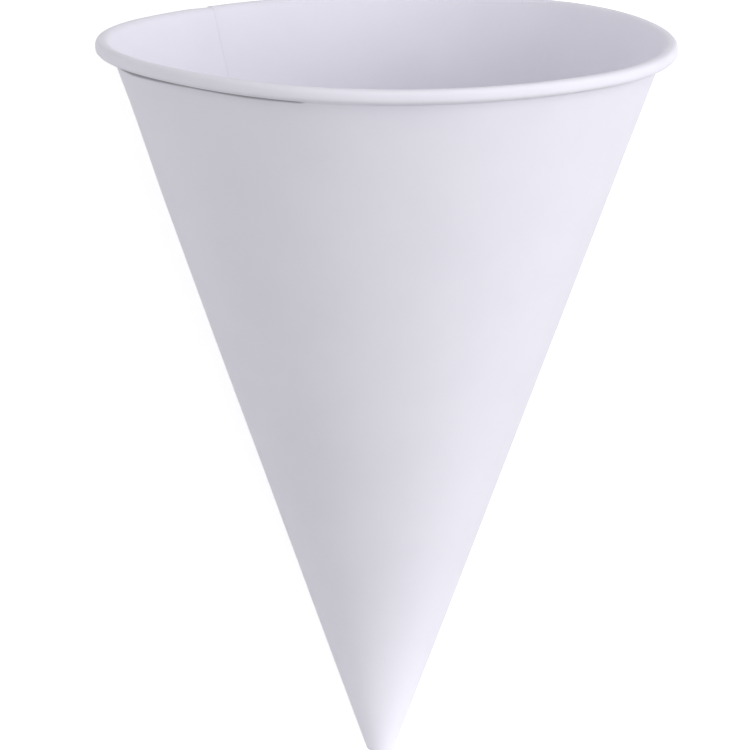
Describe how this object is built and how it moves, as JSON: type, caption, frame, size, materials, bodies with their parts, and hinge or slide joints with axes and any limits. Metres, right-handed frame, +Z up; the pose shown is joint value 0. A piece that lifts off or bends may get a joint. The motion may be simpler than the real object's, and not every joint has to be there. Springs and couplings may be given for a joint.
{
  "type": "cone paper cup",
  "caption": "White paper water cup wound into a pointed cone, with a lapped side seam, an outward rolled rim and a blunt closed point, lying on its side.",
  "frame": {"origin": "middle of the cup's outline on the table it lies on", "axes": "+Z up from the table; +X towards the open mouth; the cup's own axis lies in the XZ plane and rises 20.9 degrees towards +X"},
  "size_m": [0.0996, 0.073, 0.0683],
  "materials": {
    "paper": "plain white uncoated paper, matt with a fine tooth"
  },
  "bodies": {
    "root": {"paper_cup": "paper"}
  },
  "joints": []
}
